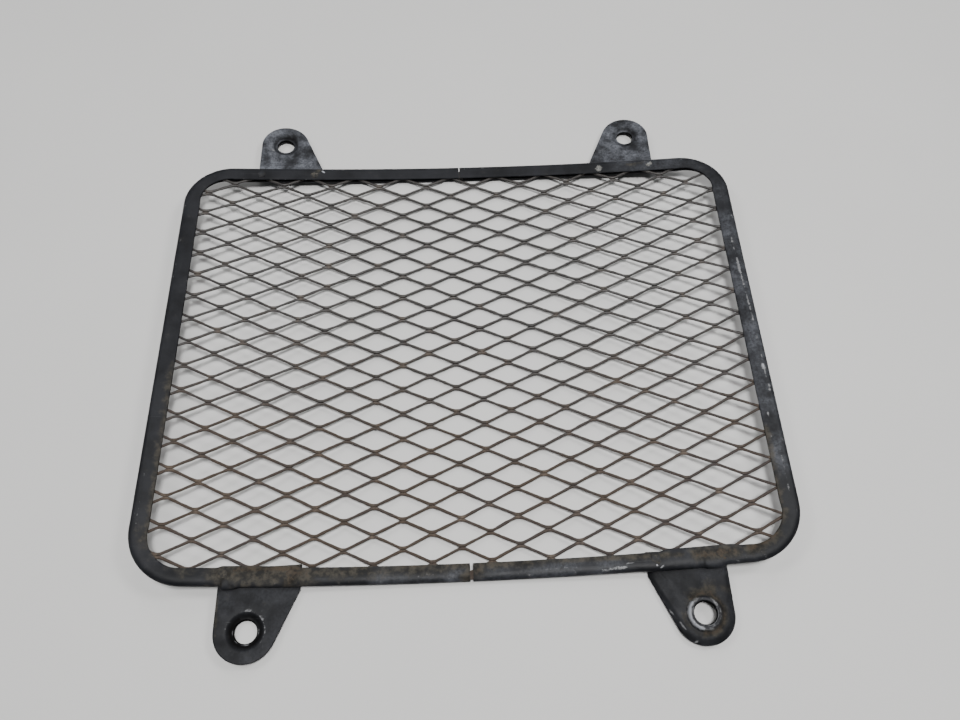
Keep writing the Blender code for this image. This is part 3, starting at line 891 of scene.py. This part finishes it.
def tab_section(reach, stamping, taper, roll):
    """The sheet's closed section from the hole out to the rim: radius and height."""
    hole, lip, foot, rise = stamping
    lead = TAB_EDGE

    def pressed(radius):
        return rise * (1 - smooth_step(radius, lip, foot))

    def dragged(radius):
        return roll * (max(radius - reach + ROLL_WIDTH, 0.0) / ROLL_WIDTH) ** 1.4

    face = [hole + lead + (foot - hole - lead) * i / 10 for i in range(11)]
    shares = (0.2, 0.45, 0.6, 0.72, 0.84, 0.92, 1.0)
    face += [foot + (reach - lead - foot) * share for share in shares]
    front = [(radius, pressed(radius) - dragged(radius)) for radius in face]
    quarter = ((0.5, 0.87), (0.87, 0.5), (1, 0))
    rounding = [(reach - lead * (1 - s), lead * (1 - c)) for s, c in quarter]
    rim = [(x, -roll - z) for x, z in rounding]
    rim += [(x, z - TAB_SHEET - roll * ROLL_AT_BACK) for x, z in reversed(rounding)]
    back = [(x, pressed(x) - TAB_SHEET - dragged(x) * ROLL_AT_BACK) for x in reversed(face)]
    top, bottom = pressed(hole), pressed(hole) - TAB_SHEET
    back[-1] = (hole + lead - taper, back[-1][1])
    wall = [(hole - taper + lead * 0.3, bottom + lead * 0.3), (hole - taper, bottom + lead)]
    wall += [(hole - taper * 0.4, (top + bottom) / 2)]
    wall += [(hole, top - lead), (hole + lead * 0.3, top - lead * 0.3)]
    return front + rim + back + wall


def on_bow(x, y, height):
    """The place a height off the bowed surface, square to it."""
    turn = Matrix.Rotation(-math.atan(x / BOW_RADIUS), 4, "Y")
    return Matrix.Translation((x, y, bow(x))) @ turn @ Matrix.Translation((0, 0, height))


def stamped_tab(corner, material):
    """One tab, turned to its corner by mirroring, square to the bowed surface at its hole."""
    hole = HOLES[corner]
    mirror = Matrix.Diagonal((math.copysign(1, hole.x), math.copysign(1, hole.y), 1, 1))
    place = on_bow(*hole, TAB_TOP) @ mirror
    shape = bmesh.new()
    loops = []
    vertex_marks = []
    level = corner.split("_")[0]
    roll = ROLLED_EDGE.get(corner, 0.0)
    for rim_point in tab_rim(ROOTS[corner]):
        way = rim_point.normalized()
        loop = []
        section = tab_section(rim_point.length, STAMPINGS[corner], BORE_TAPER[level], roll)
        for i, (radius, height) in enumerate(section):
            flat = Vector((way.x * radius, way.y * radius, height))
            flat.z += noise.noise(Vector((flat.x, flat.y, hole.x)) * 110) * TAB_RIPPLE
            spot_on = place @ flat
            loop.append(shape.verts.new(spot_on))
            offset = spot_on.xy - hole
            to_go = len(section) - i
            in_front = i < FRONT_POINTS or to_go <= 2
            in_bore = 1 < to_go <= BORE_POINTS
            # pale marks: worn paint, and painted highlights on the lit sides of rings, rims and
            # edges
            pale_share = max(ring_mark(RING_GLINTS_AND_WEAR[corner], offset), worst(TAB_SCUFFS_AND_GLINTS, *spot_on.xy))
            on_edge = radius > rim_point.length - TAB_EDGE * 0.7
            pale_share = max(pale_share, TAB_EDGE_RUBBED if on_edge else 0.0) if in_front else 0.0
            rust = max(ring_mark(RING_RUST[corner], offset), worst(TAB_RUST, *spot_on.xy))
            # painted shade about the holes, along the tabs' edges and roots, and on the lower pair
            # a thin film of dirt with painted shade
            darkening = max(ring_mark(RING_SHADE[corner], offset), worst(TAB_SHADE, *spot_on.xy))
            film_and_painted_light = TAB_DIRT_AND_SHADE[level] * (0.9 + 0.7 * noise.noise(Vector((*offset, hole.y)) * 230))
            # the bore is dark all round: painted shade
            darkening = (1.0 if in_bore else max(darkening, film_and_painted_light)) * (1 - min(pale_share, 1.0))
            vertex_marks.append((pale_share, rust, darkening, TAB_FILM_AND_SHEEN[level]))
        loops.append(loop)
    skin(shape, loops + loops[:1])
    obj = finished(corner + "_stamped_tab", shape, material)
    store_marks(obj.data, vertex_marks)
    stand_for(obj, "tab_" + corner)


for corner in HOLES:
    stamped_tab(corner, frame_paint)


# ---------------------------------------------------------------------------------------
# Weld points. Each tab's root is spot-welded through the channel at two places, dressed
# off flat by hand. The paint has gone from some of them, down to pale worn steel.

WELD_X = (-0.0174, 0.0103)  # from the hole
WELD_INSET = 0.0044  # from the channel's outer edge
WELD_RADIUS = 0.0024
WELD_STEPS = 28
WELD_RAGGED = 0.30  # how uneven its rim is, as a share of the radius
# Its rings: share of the radius, and height in millimetres above the channel's face
WELD_RINGS = ((0.0, 0.02), (0.3, 0.02), (0.55, 0.01), (0.78, -0.02), (0.92, -0.08), (1.0, -0.30))
# Of each point: how bare, the side that is barest in degrees, and how rusted
WELD_BARENESS = {
    "upper_left_inner": (0.50, 60, 0.55), "upper_left_outer": (0.05, 0, 0.20),
    "upper_right_inner": (0.74, 265, 0.05), "upper_right_outer": (0.76, 110, 0.05),
    "lower_left_inner": (0.10, 0, 0.90), "lower_left_outer": (0.15, 0, 0.60),
    "lower_right_inner": (0.25, 0, 0.40), "lower_right_outer": (0.10, 0, 0.90),
}


def weld_point(node, hole, offset, bareness, material):
    """A low dressed-off button, ragged at its edge, sunk into the channel's face."""
    x = hole.x + math.copysign(1, hole.x) * offset
    y = crowned(x, math.copysign(1, hole.y) * (HALF_HEIGHT - BAR_CROWN - WELD_INSET))[1]
    place = on_bow(x, y, CHANNEL_DEPTH / 2)
    pale_share, barest, rust = bareness
    shape = bmesh.new()
    loops = []
    vertex_marks = []
    for share, height in WELD_RINGS:
        loop = []
        for j in range(WELD_STEPS):
            angle = 2 * math.pi * j / WELD_STEPS
            way = Vector((math.cos(angle), math.sin(angle), 0))
            ragged = 1 + WELD_RAGGED * noise.noise(way * 1.6 + Vector((x, y, 0)) * 300)
            at = way * WELD_RADIUS * share * ragged
            bump = 0.05 * noise.noise(Vector((at.x, at.y, x)) * 900)
            loop.append(shape.verts.new(place @ Vector((at.x, at.y, (height + bump) * 0.001))))
            facing = math.cos(angle - math.radians(barest))
            pale_mark = pale_share * (1.0 - 0.55 * share ** 2 + 0.45 * share * facing)
            vertex_marks.append((pale_mark, rust, 0.4 * share ** 6, 0.5))
        loops.append(loop)
    skin(shape, loops)
    shape.faces.new(loops[-1])
    shape.faces.new(loops[0])
    obj = finished(node + "_spot", shape, material)
    store_marks(obj.data, vertex_marks)
    stand_for(obj, node)


PALE_STEEL = ((0.080, 0.080, 0.074, 1), (0.250, 0.246, 0.228, 1))
WELD_FINENESS = 2.2  # how much finer the wear's grain is on so small a spot
weld_steel = satin_black_paint("worn_weld", PALE_STEEL, WELD_FINENESS)
for corner, hole in HOLES.items():
    for end, offset in zip(("inner", "outer"), WELD_X):
        key = f"{corner}_{end}"
        weld_point("weld_" + key, hole, offset, WELD_BARENESS[key], weld_steel)


# ---------------------------------------------------------------------------------------
# Floor, light and camera. A plain pale matt floor, a soft lamp overhead, weaker ones to the
# right, to the left and behind, a little light from the room all round, and the camera
# looking down from the guard's lower edge.

FLOOR_HALF = 3.0  # half the floor's width
# Of each lamp: where it hangs, how wide it is, and its power in watts
LAMPS = {
    "overhead_lamp": ((0.06, -0.22, 1.15), 0.30, 15.5),
    "right_lamp": ((0.70, 0.25, 0.95), 0.34, 5.0),
    "left_lamp": ((-0.70, 0.25, 0.95), 0.34, 3.5),
    "back_lamp": ((0.00, 1.20, 1.10), 0.90, 5.0),
}
FLOOR_COLOURS = ((0.540, 0.535, 0.525, 1), (0.580, 0.575, 0.565, 1))
ROOM_LIGHT = 0.11
ROOM_COLOUR = (0.95, 0.97, 1.0, 1)
AIM = (0.00779, -0.00589, 0.0)  # the place on the floor that the camera looks at
CAMERA_DISTANCE = 0.3740
CAMERA_AZIMUTH = 3.94  # degrees round from straight below the lower edge
CAMERA_ELEVATION = 63.35
CAMERA_ROLL = 2.096
CAMERA_LENS = 28.80  # millimetres
SENSOR_WIDTH = 36


def pale_floor_material():
    material, nodes, shader = new_material("pale_floor")
    place = nodes.add("ShaderNodeTexCoord", output="Object")
    mottle = nodes.noise(place, 9, 3, 0.5)
    grain = nodes.noise(place, 700, 2, 0.5)
    tree = material.node_tree
    tree.links.new(nodes.mix(mottle, *FLOOR_COLOURS), shader.inputs["Base Color"])
    tree.links.new(nodes.blend(grain, 0.75, 0.90), shader.inputs["Roughness"])
    return material


def lay_floor():
    shape = bmesh.new()
    bmesh.ops.create_grid(shape, x_segments=2, y_segments=2, size=FLOOR_HALF)
    floor = finished("floor", shape, pale_floor_material())


def soft_lamp(name, place, size, watts):
    data = bpy.data.lights.new(name, "AREA")
    data.shape = "DISK"
    data.size = size
    data.energy = watts
    lamp = new_object(name, data)
    lamp.location = place
    lamp.rotation_euler = (-Vector(place)).to_track_quat("-Z", "Y").to_euler()


def light_room():
    world = bpy.data.worlds.new("room")
    bpy.context.scene.world = world
    world.use_nodes = True
    background = world.node_tree.nodes["Background"]
    background.inputs["Color"].default_value = ROOM_COLOUR
    background.inputs["Strength"].default_value = ROOM_LIGHT


def place_camera():
    azimuth = math.radians(CAMERA_AZIMUTH)
    elevation = math.radians(CAMERA_ELEVATION)
    away = Vector((
        -math.sin(azimuth) * math.cos(elevation),
        -math.cos(azimuth) * math.cos(elevation),
        math.sin(elevation),
    ))
    data = bpy.data.cameras.new("camera")
    data.lens = CAMERA_LENS
    data.sensor_width = SENSOR_WIDTH
    data.clip_start = 0.01
    camera = new_object("camera", data)
    camera.location = Vector(AIM) + away * CAMERA_DISTANCE
    level = (-away).to_track_quat("-Z", "Y").to_matrix()
    roll = Matrix.Rotation(math.radians(CAMERA_ROLL), 3, "Z")
    camera.rotation_euler = (level @ roll).to_euler()
    bpy.context.scene.camera = camera


lay_floor()
for name, (place, size, watts) in LAMPS.items():
    soft_lamp(name, place, size, watts)
light_room()
place_camera()
